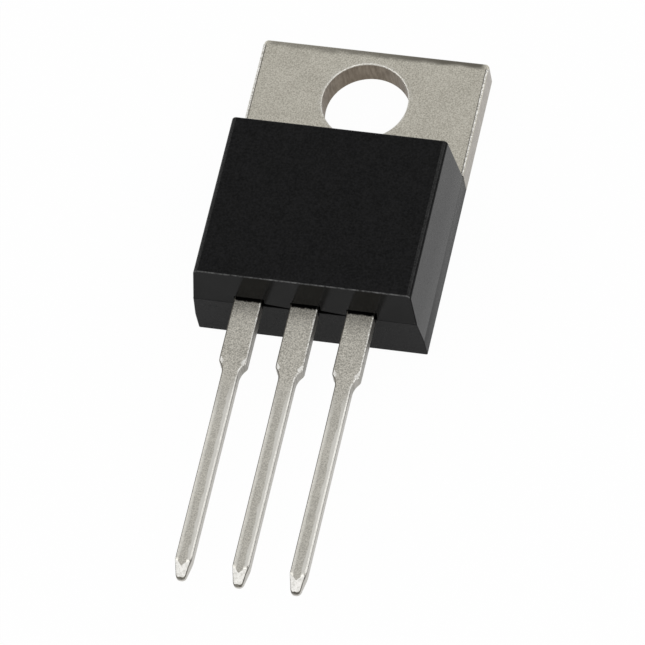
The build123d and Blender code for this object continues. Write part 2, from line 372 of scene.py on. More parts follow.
epoxyValues = {
    "face": {
        "dark": (0.0005, 0.0005, 0.0006), "light": (0.0105, 0.0105, 0.0109),
        "grain": 11.0, "rough": 0.24, "depth": 0.010, "specular": 0.14,
    },
    # paler epoxy for the front half of the side rounding
    "paleRound": {
        "dark": (0.004, 0.004, 0.004), "light": (0.034, 0.034, 0.034),
        "grain": 12.0, "rough": 0.40, "depth": 0.008, "specular": 0.14,
    },
    # painted highlight on the lead end's top edge
    "crest": {
        "dark": (0.015, 0.015, 0.015), "light": (0.12, 0.12, 0.12),
        "grain": 7.0, "rough": 0.40, "depth": 0.004, "specular": 0.14,
    },
    "end": {
        "dark": (0.0002, 0.0002, 0.0002), "light": (0.004, 0.004, 0.0041),
        "grain": 14.0, "rough": 0.13, "depth": 0.003, "specular": 0.19,
    },
    # painted shade: near black inside the gaps
    "gap": {
        "dark": (0.0002, 0.0002, 0.0002), "light": (0.002, 0.002, 0.002),
        "grain": 9.0, "rough": 0.6, "depth": 0.004, "specular": 0.0,
    },
    # painted shade: a copy of the face with less reflection
    "shadedSpecular": 0.06,
    # painted shade: less reflection on the low strip of the sides
    "lowSideSpecular": 0.028,
}
moulded = lookValues["moulded"]
shadedFace = {**epoxyValues["face"], "specular": epoxyValues["shadedSpecular"]}
lowSideFace = {**epoxyValues["face"], "specular": epoxyValues["lowSideSpecular"]}
epoxy = makeFinish("mouldedEpoxy", moulded, epoxyValues["face"])
paleRoundEpoxy = makeFinish("paleRoundEpoxy", moulded, epoxyValues["paleRound"])
crestHighlightEpoxy = makeFinish("crestHighlightEpoxy", moulded, epoxyValues["crest"])
lowSideEpoxy = makeFinish("lowSideEpoxy", moulded, lowSideFace)
endEpoxy = makeFinish("endEpoxy", moulded, epoxyValues["end"])
shadedEpoxy = makeFinish("shadedEpoxy", moulded, shadedFace)
gapShadeEpoxy = makeFinish("gapShadeEpoxy", moulded, epoxyValues["gap"])

innerValues = {
    "silicon": {
        "dark": (0.15, 0.16, 0.19), "light": (0.23, 0.24, 0.28), "sharpness": (0.3, 0.7),
        "grain": 5.0, "rough": 0.18, "depth": 0.001, "metallic": 0.6,
    },
    "solder": {
        "dark": (0.42, 0.42, 0.43), "light": (0.62, 0.62, 0.63), "sharpness": (0.34, 0.66),
        "grain": 6.0, "rough": 0.45, "depth": 0.01, "metallic": 1.0,
    },
    "copper": {
        "dark": (0.62, 0.33, 0.20), "light": (0.80, 0.49, 0.34), "sharpness": (0.3, 0.7),
        "grain": 8.0, "rough": 0.35, "depth": 0.004, "metallic": 1.0,
    },
    "wire": {
        "dark": (0.72, 0.72, 0.73), "light": (0.86, 0.86, 0.87), "sharpness": (0.34, 0.66),
        "grain": 18.0, "rough": 0.28, "depth": 0.002, "metallic": 1.0,
    },
}
silicon = makeFinish("silicon", grained, innerValues["silicon"])
softSolder = makeFinish("softSolder", grained, innerValues["solder"])
bareCopper = makeFinish("bareCopper", grained, innerValues["copper"])
bondWire = makeFinish("bondWire", grained, innerValues["wire"])
print("triac: materials made")


# pieces are modelled in millimetres and scaled down when finished

close = 0.01  # two measures this near each other count as the same
veryClose = 0.002  # and this near where vertices lie side by side
mostly = 0.9  # a direction with more than this along an axis follows it
little = 0.3  # and one with less than this hardly does


def startCube(name, low, high, materials):
    bpy.ops.object.select_all(action="DESELECT")
    low, high = Vector(low), Vector(high)
    bpy.ops.mesh.primitive_cube_add(size=1, location=(low + high) / 2, scale=high - low)
    piece = bpy.context.object
    piece.name = piece.data.name = name
    bpy.ops.object.transform_apply(location=True, rotation=True, scale=True)
    for material in materials:
        piece.data.materials.append(material)
    bpy.ops.object.mode_set(mode="EDIT")
    return piece


def place(part):  # middle of a vertex, edge or face
    if isinstance(part, bmesh.types.BMVert):
        return part.co
    if isinstance(part, bmesh.types.BMEdge):
        return (part.verts[0].co + part.verts[1].co) / 2
    return part.calc_center_median()


def near(a, b, within=close):
    return abs(a - b) < within


def runs(edge, axis):  # whether an edge runs along an axis
    return abs((edge.verts[1].co - edge.verts[0].co).normalized()[axis]) > mostly


def endsAt(face, y):  # whether a face looks to the leads' side at this place
    return face.normal.y < -mostly and near(place(face).y, y)


def upright(face, most=little):  # whether a face stands up, as the side walls do
    return abs(face.normal.z) < most


def fromAxis(part):  # distance from the hole's axis
    return math.hypot(place(part).x, place(part).y)


def slotOf(material):  # the material's slot on the piece being edited
    return bpy.context.object.data.materials.find(material.name)


def hasFinish(face, material):
    return face.material_index == slotOf(material)


def pick(kind, wanted):  # selects what passes the test, in the piece being edited
    mesh = bmesh.from_edit_mesh(bpy.context.object.data)
    mesh.normal_update()
    parts = getattr(mesh, kind)
    parts.index_update()
    chosen = [part.index for part in parts if wanted(part)]
    bpy.ops.mesh.select_mode(type={"verts": "VERT", "edges": "EDGE", "faces": "FACE"}[kind])
    bpy.ops.mesh.select_all(action="DESELECT")
    mesh = bmesh.from_edit_mesh(bpy.context.object.data)
    parts = getattr(mesh, kind)
    parts.ensure_lookup_table()
    for index in chosen:
        parts[index].select_set(True)
    bmesh.update_edit_mesh(bpy.context.object.data)


def move(x=0.0, y=0.0, z=0.0):
    bpy.ops.transform.translate(value=(x, y, z))


def stretch(x=1.0, y=1.0, z=1.0):
    bpy.ops.transform.resize(value=(x, y, z), center_override=(0, 0, 0))


def extrude(x=0.0, y=0.0, z=0.0):
    bpy.ops.mesh.extrude_region_move(TRANSFORM_OT_translate={"value": (x, y, z)})


def cut(point, normal, **options):
    bpy.ops.mesh.bisect(plane_co=point, plane_no=normal, threshold=0.0001, **options)


def cutAll(point, normal, **options):
    bpy.ops.mesh.select_all(action="SELECT")
    cut(point, normal, **options)


def cutFaces(wanted, point, normal):
    pick("faces", wanted)
    cut(point, normal)


def cutAcross(wanted, *places):  # cuts the faces that pass the test at places along X
    for x in places:
        cutFaces(wanted, (x, 0, 0), (1, 0, 0))


def roundEdges(offset, segments, material=None):
    slot = slotOf(material) if material else -1  # -1 keeps the neighbours' finish
    bpy.ops.mesh.bevel(offset=offset, segments=segments, affect="EDGES", material=slot, clamp_overlap=False)


def paintFaces(material, wanted):
    pick("faces", wanted)
    bpy.context.object.active_material_index = slotOf(material)
    bpy.ops.object.material_slot_assign()


def selectOnly(piece, *others):
    bpy.ops.object.select_all(action="DESELECT")
    for item in (piece, *others):
        item.select_set(True)
    bpy.context.view_layer.objects.active = piece


def uniteShell(inShell):  # joins the closed shell whose faces pass the test to the rest
    pick("faces", inShell)
    bpy.ops.mesh.select_linked()
    bpy.ops.mesh.intersect_boolean(operation="UNION", solver="EXACT")


def finishPiece(piece, slotName, *cadNodes, smoothAngle=35):
    bpy.ops.mesh.select_all(action="SELECT")
    bpy.ops.mesh.remove_doubles(threshold=0.0002)
    bpy.ops.mesh.normals_make_consistent(inside=False)
    bpy.ops.object.mode_set(mode="OBJECT")
    bpy.ops.object.shade_smooth_by_angle(angle=math.radians(smoothAngle))
    bpy.ops.object.modifier_add(type="WEIGHTED_NORMAL")
    piece.modifiers[-1].keep_sharp = True
    bpy.ops.object.modifier_apply(modifier=piece.modifiers[-1].name)
    piece.scale = (0.001, 0.001, 0.001)
    bpy.ops.object.transform_apply(location=True, rotation=True, scale=True)
    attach(piece, "root")
    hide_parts(*cadNodes)
    print("triac:", piece.name, "finished,", len(piece.data.polygons), "faces")


headerValues = {
    "cornerRound": 0.2,
    "endRoll": 0.15,
    "hole": 1.95,
    "holeSides": 128,
    "punchLength": 4.0,
    "holeRimHighlight": 0.055,
    "padHalf": 4.3,
    "padEnd": -9.95,
    "notchStart": -8.75,
    "notchEnd": -7.85,
    "notchDepth": 0.5,
    # places across the tab, each with the burr's rise there
    "burr": ((5.065, 0.0), (5.1, 0.018), (5.12, 0.034), (5.15, 0.036), (5.175, 0.018), (5.2, -0.03)),
    "burrEnd": 2.38,
    "burrFade": 0.15,
    "burrToRoll": 0.04,
    "backRound": 0.03,
    "clearOfHole": 2.5,
    "grooveInset": 0.5,
    "grooveHalf": 0.25,
    "grooveDepth": 0.25,
    "neckRadius": 0.5,
    "neckSteps": 6,
    "neckLow": -10.32,
    "neckHigh": -10.95,
    "neckGap": 0.02,
}
padHalf = headerValues["padHalf"]
notchHalf = padHalf - headerValues["notchDepth"]


def bendNeck(values):  # from the die pad's end up to the centre lead's root
    thickness, radius, steps = leadFront - leadBack, values["neckRadius"], values["neckSteps"]
    padMiddle = tabThickness - thickness / 2
    atEnd = lambda f: endsAt(f, values["padEnd"])
    inWidth = lambda f: atEnd(f) and abs(place(f).x) < wideHalf
    cutAcross(atEnd, -wideHalf, wideHalf)
    cutFaces(inWidth, (0, 0, tabThickness - thickness), (0, 0, 1))
    pick("faces", lambda f: inWidth(f) and place(f).z > tabThickness - thickness)
    rise, run = leadMiddle - padMiddle, values["neckLow"] - values["neckHigh"]
    bend = math.atan2(rise, run)
    reach = radius * math.tan(bend / 2)
    straight = math.hypot(rise, run) - 2 * reach
    low, high = values["neckLow"] + reach, values["neckHigh"] - reach
    extrude(y=low - values["padEnd"])
    bpy.ops.mesh.spin(steps=steps, angle=bend, center=(0, low, padMiddle + radius), axis=(1, 0, 0))
    extrude(y=-straight * math.cos(bend), z=straight * math.sin(bend))
    bpy.ops.mesh.spin(steps=steps, angle=bend, center=(0, high, leadMiddle - radius), axis=(-1, 0, 0))
    extrude(y=rootY + values["neckGap"] - high)
    bpy.ops.mesh.delete(type="FACE")


def addDiePad(values, startY):  # with its lock notches and a groove across its front
    atStart = lambda f: endsAt(f, startY)
    cutAcross(atStart, -padHalf, -notchHalf, notchHalf, padHalf)
    pick("faces", lambda f: atStart(f) and abs(place(f).x) < padHalf)
    extrude(y=values["notchEnd"] - startY)
    pick("faces", lambda f: endsAt(f, values["notchEnd"]) and abs(place(f).x) < notchHalf)
    extrude(y=values["notchStart"] - values["notchEnd"])
    extrude(y=values["padEnd"] - values["notchStart"])
    for side in (-1, 1):
        pick("faces", lambda f: f.normal.x * side > mostly and place(f).y < values["notchStart"])
        extrude(x=side * values["notchDepth"])
    bendNeck(values)
    grooveY, grooveHalf = startY - values["grooveInset"], values["grooveHalf"]
    for y in (grooveY - grooveHalf, grooveY, grooveY + grooveHalf):
        cutFaces(lambda f: f.normal.z > mostly and place(f).y < startY, (0, y, 0), (0, 1, 0))
    pick("verts", lambda v: near(v.co.y, grooveY) and near(v.co.z, tabThickness))
    move(z=-values["grooveDepth"])


def shapeTab(values, startY):  # rounded corners, burr along both sides, rolled end
    burrEnd = values["burrEnd"]
    fadeStart, rollStart = burrEnd - values["burrFade"], burrEnd + values["burrToRoll"]
    pick("edges", lambda e: runs(e, 2) and near(place(e).y, headerHigh.y))
    roundEdges(values["cornerRound"], 8)
    onTab = lambda f: f.normal.z > mostly and place(f).y > startY
    onBurr = lambda f: onTab(f) and place(f).y < burrEnd
    for y in (rollStart, burrEnd, fadeStart):
        cutFaces(onTab, (0, y, 0), (0, 1, 0))
    for x, _ in values["burr"][:-1]:
        cutAcross(onBurr, -x, x)
    for x, rise in values["burr"]:
        onLine = lambda v: near(abs(v.co.x), x) and near(v.co.z, tabThickness)
        pick("verts", lambda v: onLine(v) and v.co.y < fadeStart + close)
        move(z=rise)
    atTop = lambda e: near(place(e).z, tabThickness) and any(f.normal.z < mostly for f in e.link_faces)
    pick("edges", lambda e: atTop(e) and place(e).y > rollStart + close)
    roundEdges(values["endRoll"], 7)


def punchHole(values, piece):  # with a broken edge at the front, painted as a highlight, and at the back
    bpy.ops.object.mode_set(mode="OBJECT")
    bpy.ops.object.select_all(action="DESELECT")
    hole, sides, length = values["hole"], values["holeSides"], values["punchLength"]
    bpy.ops.mesh.primitive_cylinder_add(vertices=sides, radius=hole, depth=length, location=(0, 0, 0))
    punch = bpy.context.object
    selectOnly(piece)
    bpy.ops.object.modifier_add(type="BOOLEAN")
    piece.modifiers[-1].object = punch
    piece.modifiers[-1].operation = "DIFFERENCE"
    bpy.ops.object.modifier_apply(modifier=piece.modifiers[-1].name)
    bpy.data.objects.remove(punch)
    bpy.ops.object.mode_set(mode="EDIT")
    for z, offset, material in ((tabThickness, values["holeRimHighlight"], holeRimHighlight), (0, values["backRound"], None)):
        atRim = lambda v: near(fromAxis(v), hole) and near(v.co.z, z)
        pick("edges", lambda e: all(atRim(v) for v in e.verts))
        roundEdges(offset, 3, material)
    straight = 0.2  # less slope than any facet of a rounded edge has
    paintFaces(boreWall, lambda f: upright(f, straight) and fromAxis(f) < hole + close)


def makeHeader(values):
    right, startY = headerHigh.x, caseHigh.y
    finishes = [tabFace, edgeHighlight, tabSide, boreWall, paintedShadeBand, holeRimHighlight]
    low, high = (-right, startY, 0), (right, headerHigh.y, tabThickness)
    piece = startCube("headerAndCentreLead", low, high, finishes)
    addDiePad(values, startY)
    shapeTab(values, startY)
    punchHole(values, piece)

    # sheared sides, painted highlight on the burr beside painted shade in its dip, broken back edges
    sideways, sideDepth, upward = 0.95, 0.02, 0.5
    (dip, _), (crest, _) = values["burr"][:2]
    onBurr = lambda f: f.normal.z > upward and place(f).y < values["burrEnd"]
    onSide = lambda f: abs(f.normal.x) > sideways and abs(place(f).x) > right - sideDepth
    paintFaces(tabSide, onSide)
    paintFaces(edgeHighlight, lambda f: onBurr(f) and abs(place(f).x) > crest)
    paintFaces(paintedShadeBand, lambda f: onBurr(f) and dip < abs(place(f).x) < crest)
    atBack = lambda e: near(place(e).z, 0) and place(e).y > startY + close
    pick("edges", lambda e: atBack(e) and fromAxis(e) > values["clearOfHole"])
    roundEdges(values["backRound"], 2)
    bpy.ops.object.mode_set(mode="OBJECT")
    return piece


header = makeHeader(headerValues)

leadValues = {
    "rootStub": 0.1,
    "shoulderY": -15.05,
    "slope": 55.0,
    "shoulderRound": 0.2,
    "blendRound": 0.8,
    "shankHalf": 0.36,
    "tipLength": 0.85,
    "tipHalf": 0.2,
    "tipRound": 0.2,
    "tipTurn": 80.0,
    "tipStartReach": 0.08,
    "ridgeLength": 0.43,
    "ridgeDrop": 0.27,
    "coinRunOut": 2.2,
    "coinSteps": 6,
    # places across the shank, each with the crown's drop there
    "coin": ((0.15, 0.0), (0.19, 0.005), (0.24, 0.017), (0.30, 0.036), (0.36, 0.062)),
    "edgeBreak": 0.05,
    "sharpTurn": 0.6,
    "paintedShadeBand": 0.14,
    "shankShadeBand": 0.2,
    "breakEnd": 0.3,
    "tipLine": 0.04,
    "tipRim": 0.17,
    "cornerReach": 0.23,
    "cornerLow": 0.16,
    "cornerDip": 0.02,
    "cornerPress": 0.12,
    "cornerFall": 0.05,
    "padToCentre": 0.28,
    "padWidth": 3.3,
    "padOuter": -11.05,
    "padInner": -9.35,
    "padRound": 0.25,
    "padReach": 0.3,
}
shoulderY = leadValues["shoulderY"]
shankHalf = leadValues["shankHalf"]
shankY = shoulderY - (wideHalf - shankHalf) * tan(leadValues["slope"])
halfTurn = (90 - leadValues["slope"]) / 2
coinStart = shankY - leadValues["blendRound"] * tan(halfTurn)
tipStart = leadTip + leadValues["tipLength"]


def startLead(values):  # wide part, slopes, shank and narrower tip, all with rounded corners
    low, high = (-wideHalf, shoulderY, leadBack), (wideHalf, rootY, leadFront)
    finishes = [leadFace, leadEdgeHighlight, leadSide, paintedShadeBand, pressedHighlight]
    piece = startCube("centreLead", low, high, finishes)
    pick("faces", lambda f: f.normal.y < -mostly)
    extrude(y=shankY - shoulderY)
    stretch(x=shankHalf / wideHalf)
    extrude(y=tipStart - shankY)
    extrude(y=leadTip - tipStart)
    stretch(x=values["tipHalf"] / shankHalf)
    for y, offset, segments in (
        (shoulderY, values["shoulderRound"] * tan(halfTurn), 4),
        (shankY, values["blendRound"] * tan(halfTurn), 8),
        (tipStart, values["tipStartReach"], 3),
        (leadTip, values["tipRound"] * tan(values["tipTurn"] / 2), 6),
    ):
        pick("edges", lambda e: runs(e, 2) and near(place(e).y, y))
        roundEdges(offset, segments)
    return piece


def coinShank(values):  # crowned front, which runs out below the shoulder
    steps = values["coinSteps"]
    stations = [coinStart - values["coinRunOut"] * step / steps for step in range(steps + 1)]
    for y in stations:
        cutAll((0, y, 0), (0, 1, 0))
    for x, _ in values["coin"][:-1]:
        cutAcross(lambda f: f.normal.z > mostly and place(f).y < coinStart, -x, x)
    lowest = leadFront - values["coin"][-1][1] - close
    for x, drop in values["coin"]:
        onLine = lambda v: near(min(abs(v.co.x), shankHalf), x, veryClose) and v.co.z > lowest
        for step, y in enumerate(stations[1:-1], 1):
            pick("verts", lambda v: onLine(v) and near(v.co.y, y, veryClose))
            move(z=-drop * step / steps)
        pick("verts", lambda v: onLine(v) and v.co.y < stations[-1] + veryClose)
        move(z=-drop)


def breakEdges(values):  # painted highlight on the front edges, painted shade on the left ones
    stubEnd, breakEnd = rootY - values["rootStub"], leadTip + values["breakEnd"]
    for y in (stubEnd, breakEnd):
        cutAll((0, y, 0), (0, 1, 0))
    turns = lambda e: len(e.link_faces) == 2 and e.calc_face_angle() > values["sharpTurn"]
    bent = lambda e: turns(e) and place(e).y < stubEnd
    inFront = lambda e: place(e).z > leadMiddle + close and place(e).y > breakEnd
    pick("edges", lambda e: bent(e) and inFront(e) and sum(upright(f) for f in e.link_faces) == 1)
    roundEdges(values["edgeBreak"], 2, leadEdgeHighlight)
    paintFaces(paintedShadeBand, lambda f: hasFinish(f, leadEdgeHighlight) and f.normal.x < -close)
    pick("edges", lambda e: bent(e) and place(e).z < leadBack + close)
    roundEdges(values["edgeBreak"], 2)


def pressCorners(values):  # a small sunk facet at each corner of the shoulders
    reach, low, press = values["cornerReach"], values["cornerLow"], values["cornerPress"]
    highY, lowY = shoulderY + reach, shoulderY - low
    for y in (highY, lowY):
        cutAll((0, y, 0), (0, 1, 0))
    inBand = lambda f: lowY < place(f).y < highY
    flat = lambda f: f.normal.z > 1 - close and inBand(f)
    for side in (1, -1):
        above = Vector((side * (wideHalf - values["edgeBreak"]), highY, 0))
        inner = Vector((side * (wideHalf - reach), shoulderY - values["cornerDip"], 0))
        below = Vector((above.x - side * low / tan(values["slope"]), lowY, 0))
        outward = Vector((side * (above.y - inner.y), -abs(above.x - inner.x), 0))
        cutFaces(flat, inner, outward.normalized())
        lowerCut = (below - inner).cross(Vector((0, 0, 1))).normalized()
        cutFaces(lambda f: flat(f) and (place(f) - inner).dot(outward) > 0, inner, lowerCut)
    atCorner = lambda v: abs(v.co.x) > wideHalf - press and abs(v.co.y - shoulderY) < press
    pick("verts", lambda v: atCorner(v) and v.co.z > leadMiddle + close)
    move(z=-values["cornerFall"])
    steepest = 0.7
    tilted = lambda f: steepest < f.normal.z < 1 - veryClose and abs(place(f).x) > wideHalf / 2
    # painted highlight on the pressed corner facets
    paintFaces(pressedHighlight, lambda f: hasFinish(f, leadFace) and inBand(f) and tilted(f))


def pressTip(values):  # two facets that meet in a ridge, painted as highlights, with a thin line of painted shade round them
    ridgeTop = Vector((0, leadTip + values["ridgeLength"], leadFront))
    fall = Vector((0, -values["ridgeLength"], -values["ridgeDrop"]))
    arm = Vector((shankHalf, values["tipLength"] - values["ridgeLength"], 0))
    slope = fall.cross(arm).normalized()
    for side in (1, -1):
        facet = Vector((slope.x * side, slope.y, slope.z))
        cutAll(ridgeTop, facet, clear_outer=True, use_fill=True)
        paintFaces(pressedHighlight, lambda f: f.normal.dot(facet) > 1 - veryClose)
    onFacet = lambda f: hasFinish(f, pressedHighlight) and place(f).y < tipStart
    atWall = lambda e: any(upright(f) for f in e.link_faces)
    pick("edges", lambda e: atWall(e) and sum(onFacet(f) for f in e.link_faces) == 1)
    roundEdges(values["tipLine"], 1, paintedShadeBand)


def shearSides(values):  # with a line of painted shade under the front edge and on the tip's end
    paintFaces(leadSide, upright)
    wideLine, shankLine = leadFront - values["paintedShadeBand"], leadFront - values["shankShadeBand"]
    rimLine = leadBack + values["tipRim"]
    for z in (wideLine, shankLine, rimLine):
        cutAll((0, 0, z), (0, 0, 1))
    onWide = lambda f: place(f).y > shoulderY and place(f).z > wideLine
    onShank = lambda f: place(f).y < coinStart and place(f).z > shankLine
    paintFaces(paintedShadeBand, lambda f: upright(f) and (onWide(f) or onShank(f)))
    steepest, endDepth = 0.85, 0.1
    atEnd = lambda f: f.normal.y < -little and place(f).y < leadTip + endDepth
    paintFaces(paintedShadeBand, lambda f: atEnd(f) and upright(f, steepest) and place(f).z > rimLine)


def pickRoot():
    pick("faces", lambda f: f.normal.y > mostly and near(place(f).y, rootY))


def addBondPad(values, side):  # the wide pad inside the case that the lead's root runs into
    start = wideHalf + values["padToCentre"]
    low, high = sorted((side * start, side * (start + values["padWidth"])))
    pickRoot()
    extrude(y=values["padOuter"] + values["padReach"] - rootY)
    middle = ((low + high) / 2, (values["padOuter"] + values["padInner"]) / 2, leadMiddle)
    size = (high - low, values["padInner"] - values["padOuter"], leadFront - leadBack)
    bpy.ops.mesh.select_all(action="DESELECT")
    bpy.ops.mesh.primitive_cube_add(size=1, location=middle, scale=size)
    atSide = lambda part: near(place(part).x, low) or near(place(part).x, high)
    pick("edges", lambda e: runs(e, 2) and atSide(e))
    roundEdges(values["padRound"], 4)
    uniteShell(lambda f: abs(f.normal.x) > mostly and atSide(f))


def makeLeads(values, header):
    piece = startLead(values)
    coinShank(values)
    breakEdges(values)
    pressCorners(values)
    pressTip(values)
    shearSides(values)

    # the outer two are copies with their own meshes and bond pads
    bpy.ops.object.mode_set(mode="OBJECT")
    for name, side, node in (("leftLead", -1, "left_lead"), ("rightLead", 1, "right_lead")):
        selectOnly(piece)
        bpy.ops.object.duplicate(linked=False)
        copy = bpy.context.object
        copy.name = copy.data.name = name
        bpy.ops.object.mode_set(mode="EDIT")
        bpy.ops.mesh.select_all(action="SELECT")
        move(x=side * leadPitch)
        addBondPad(values, side)
        finishPiece(copy, "plated_lead", node)

    # the centre one is part of the header
    selectOnly(piece)
    bpy.ops.object.mode_set(mode="EDIT")
    pickRoot()
    bpy.ops.mesh.delete(type="FACE")
    bpy.ops.object.mode_set(mode="OBJECT")
    selectOnly(header, piece)
    bpy.ops.object.join()
    bpy.ops.object.mode_set(mode="EDIT")
    pick("edges", lambda e: e.is_boundary)
    bpy.ops.mesh.bridge_edge_loops()
    finishPiece(header, "plated_tab", "header_and_centre_lead")


makeLeads(leadValues, header)

caseValues = {
    "wallDraft": 4.0,
    "endDraftFront": 11.0,
    "endDraftBack": 2.5,
    "ledge": 0.02,
    "insetAtTab": 0.012,
    "sideRound": 0.19,
    "backRound": 0.06,
    "leadEndRound": 0.04,
    "tabEndRound": 0.09,
    "gapLeft": 0.01,
    "gapRight": 0.12,
    "gapAbove": 0.11,
    "gapDepth": 0.5,
    "slitHigh": 0.16,
    "slitLow": 0.04,
    "slitDepth": 0.14,
}
caseRight, leadEndY, tabEndY, caseTop = caseHigh.x, caseLow.y, caseHigh.y, caseHigh.z
ledge = caseValues["ledge"]
ledgeHigh = leadMiddle + ledge  # the mould's two halves part at the leads' middle
sideStart = 4.4  # what lies further out than this belongs to the side walls


def draftWalls(values):  # slopes the walls away from the parting line, level by level
    byTab, byTop = values["insetAtTab"], caseTop * tan(values["wallDraft"])
    levels = (  # each height with its inset at the lead end
        (0, leadMiddle * tan(values["endDraftBack"])),
        (tabThickness, (leadMiddle - tabThickness) * tan(values["endDraftBack"])),
        (leadMiddle, 0),
        (ledgeHigh, ledge),
        (caseTop, ledge + (caseTop - ledgeHigh) * tan(values["endDraftFront"])),
    )
    for z, _ in levels[1:-1]:
        cutAll((0, 0, z), (0, 0, 1))
    for z, inward in levels:
        aboveTab = max(z - tabThickness, 0)
        inset = byTab * min(z / tabThickness, 1) + (byTop - byTab) * aboveTab / (caseTop - tabThickness)
        atLevel = lambda v: near(v.co.z, z, veryClose)
        pick("verts", atLevel)
        stretch(x=(caseRight - inset) / caseRight)
        pick("verts", lambda v: atLevel(v) and v.co.y < leadEndY + close)
        move(y=inward)
        pick("verts", lambda v: atLevel(v) and v.co.y > tabEndY - close)
        move(y=-aboveTab * tan(values["wallDraft"]))


def endFace(face):  # whether a face is in the lead end's wall, above the parting line
    return face.normal.y < -mostly and place(face).z > ledgeHigh


def cutGaps(values):  # round the leads' roots, with slits between them
    gapLeft, gapRight = wideHalf + values["gapLeft"], wideHalf + values["gapRight"]
    gapTop, slitTop = leadFront + values["gapAbove"], ledgeHigh + values["slitHigh"]
    inGap = lambda f: endFace(f) and any(-gapLeft < place(f).x - lead < gapRight for lead in leadPlaces)
    for lead in leadPlaces:
        cutAcross(endFace, lead - gapLeft, lead + gapRight)
    cutFaces(inGap, (0, 0, gapTop), (0, 0, 1))
    for lead in leadPlaces[:2]:
        left, right = lead + gapRight, lead + leadPitch - gapLeft
        between = lambda f: endFace(f) and left < place(f).x < right
        slope = Vector((values["slitHigh"] - values["slitLow"], 0, right - left))
        cutFaces(between, (left, 0, slitTop), slope.normalized())
        pick("faces", lambda f: between(f) and place(f).z < slitTop)
        extrude(y=values["slitDepth"])
    pick("faces", lambda f: inGap(f) and place(f).z < gapTop)
    extrude(y=values["gapDepth"])
    wallY = lambda z: leadEndY + ledge + (z - ledgeHigh) * tan(values["endDraftFront"])
    nearest, farthest = 0.03, 1.0
    behindWall = lambda p: nearest < p.y - wallY(p.z) < farthest and abs(p.x) < sideStart
    # painted shade inside the gaps round the roots and in the slits
    paintFaces(gapShadeEpoxy, lambda f: behindWall(place(f)) and ledgeHigh - close < place(f).z < gapTop + close)


def onOutline(edge, sign):  # whether an edge bounds the faces at the lead end or tab end
    turned = [face.normal.y * sign > mostly for face in edge.link_faces]
    return len(turned) == 2 and turned[0] != turned[1]


def roundCase(values):  # rounds the edges, paler on the front half of the side rounding, with painted shade on its outer half and a painted highlight on the lead end's top edge
    sideways, crestDepth = 0.7, 0.1
    inSide = lambda e: runs(e, 1) and abs(place(e).x) > sideStart
    onWall = lambda e: abs(place(e).x) > sideStart or place(e).z > caseTop - close
    paintFaces(endEpoxy, lambda f: endFace(f) and hasFinish(f, epoxy))
    pick("edges", lambda e: inSide(e) and near(place(e).z, caseTop))
    roundEdges(values["sideRound"], 8, paleRoundEpoxy)
    # painted shade on the outer half of the side rounding
    paintFaces(shadedEpoxy, lambda f: hasFinish(f, paleRoundEpoxy) and abs(f.normal.x) > sideways)
    # painted shade on the low strip of the sides
    paintFaces(lowSideEpoxy, lambda f: abs(f.normal.x) > 1 - close and place(f).z < tabThickness)
    pick("edges", lambda e: inSide(e) and near(place(e).z, tabThickness))
    bpy.ops.mesh.mark_sharp()
    pick("edges", lambda e: inSide(e) and place(e).z < close)
    roundEdges(values["backRound"], 2, shadedEpoxy)
    pick("edges", lambda e: onOutline(e, -1) and onWall(e) and place(e).z > ledgeHigh + close)
    roundEdges(values["leadEndRound"], 3, crestHighlightEpoxy)
    # painted shade on the lead end's upright edges
    paintFaces(shadedEpoxy, lambda f: hasFinish(f, crestHighlightEpoxy) and place(f).z < caseTop - crestDepth)
    # painted shade on the end wall below the parting line
    paintFaces(shadedEpoxy, lambda f: f.normal.y < -mostly and place(f).z < leadMiddle)
    atBack = lambda e: (onWall(e) or place(e).z < close) and place(e).z < leadMiddle - close
    pick("edges", lambda e: onOutline(e, -1) and atBack(e))
    roundEdges(values["leadEndRound"], 3)
    pick("edges", lambda e: onOutline(e, 1) and onWall(e) and place(e).z > tabThickness + close)
    roundEdges(values["tabEndRound"], 4)


def cutBed():  # for the die pad in the back, open to the tab side
    padEnd, notchStart, notchEnd = [headerValues[key] for key in ("padEnd", "notchStart", "notchEnd")]
    backFace = lambda f: f.normal.z < -mostly and near(place(f).z, 0)
    tabWall = lambda f: abs(f.normal.y) > mostly and near(place(f).y, tabEndY)
    lowWall = lambda f: tabWall(f) and place(f).z < tabThickness
    cutAcross(lambda f: backFace(f) or lowWall(f), -padHalf, -notchHalf, notchHalf, padHalf)
    for y in (padEnd, notchStart, notchEnd):
        cutFaces(backFace, (0, y, 0), (0, 1, 0))
    inPad = lambda p: abs(p.x) < padHalf and p.y > padEnd
    inNotch = lambda p: abs(p.x) > notchHalf and notchStart < p.y < notchEnd
    pick("faces", lambda f: backFace(f) and inPad(place(f)) and not inNotch(place(f)))
    extrude(z=tabThickness)
    pick("faces", lambda f: lowWall(f) and abs(place(f).x) < padHalf)
    bpy.ops.mesh.delete(type="FACE")


def makeCase(values):
    low, high = (-caseRight, leadEndY, 0), (caseRight, tabEndY, caseTop)
    finishes = [epoxy, paleRoundEpoxy, crestHighlightEpoxy, shadedEpoxy, gapShadeEpoxy, endEpoxy, lowSideEpoxy]
    piece = startCube("mouldedCase", low, high, finishes)
    draftWalls(values)
    cutGaps(values)
    roundCase(values)
    cutBed()
    finishPiece(piece, "black_epoxy", "moulded_body")


makeCase(caseValues)

nodeFinishes = {
    "header_and_centre_lead": tabFace,
    "left_lead": leadFace,
    "right_lead": leadFace,
    "moulded_body": epoxy,
    "triac_die": silicon,
    "die_solder": softSolder,
    "clip_die_solder": softSolder,
    "clip_lead_solder": softSolder,
    "main_terminal_clip": bareCopper,
    "gate_wire": bondWire,
}
for name, finish in nodeFinishes.items():
    for slot in nodes[name].material_slots:
        slot.material = finish
print("triac: inner pieces finished")


